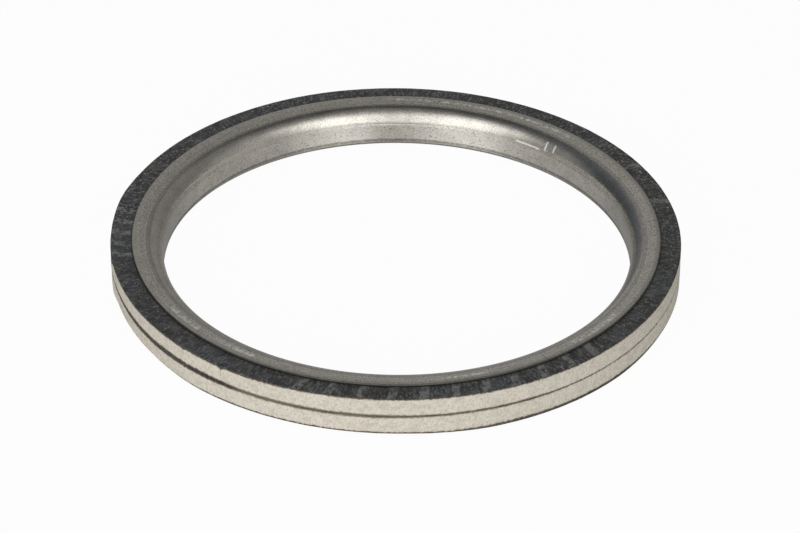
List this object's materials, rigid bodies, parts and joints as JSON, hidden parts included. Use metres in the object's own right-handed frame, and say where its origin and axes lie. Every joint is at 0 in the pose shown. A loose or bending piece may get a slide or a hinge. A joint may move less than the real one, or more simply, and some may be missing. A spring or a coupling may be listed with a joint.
{
  "type": "exhaust gasket",
  "caption": "Round exhaust port gasket: fibre rings stacked and clamped by a C-section stainless eyelet with rounded lips that lines the bore.",
  "frame": {"origin": "on the bore's axis, in the plane that the gasket lies on, under the lower flange of the eyelet", "axes": "+Z along the bore, from the lower (crimped) flange up to the upper (formed) flange; X and Y lie in the gasket's plane"},
  "size_m": [0.057, 0.057, 0.0046],
  "materials": {
    "stainless_strip": "satin, burnished on the lips, dull and scratched on the bore wall",
    "coated_fibre": "matte pale fibre with a near-black coat on both faces"
  },
  "bodies": {
    "root": {"bore_eyelet": "stainless_strip", "lower_facing": "coated_fibre", "upper_facing": "coated_fibre"}
  },
  "joints": []
}
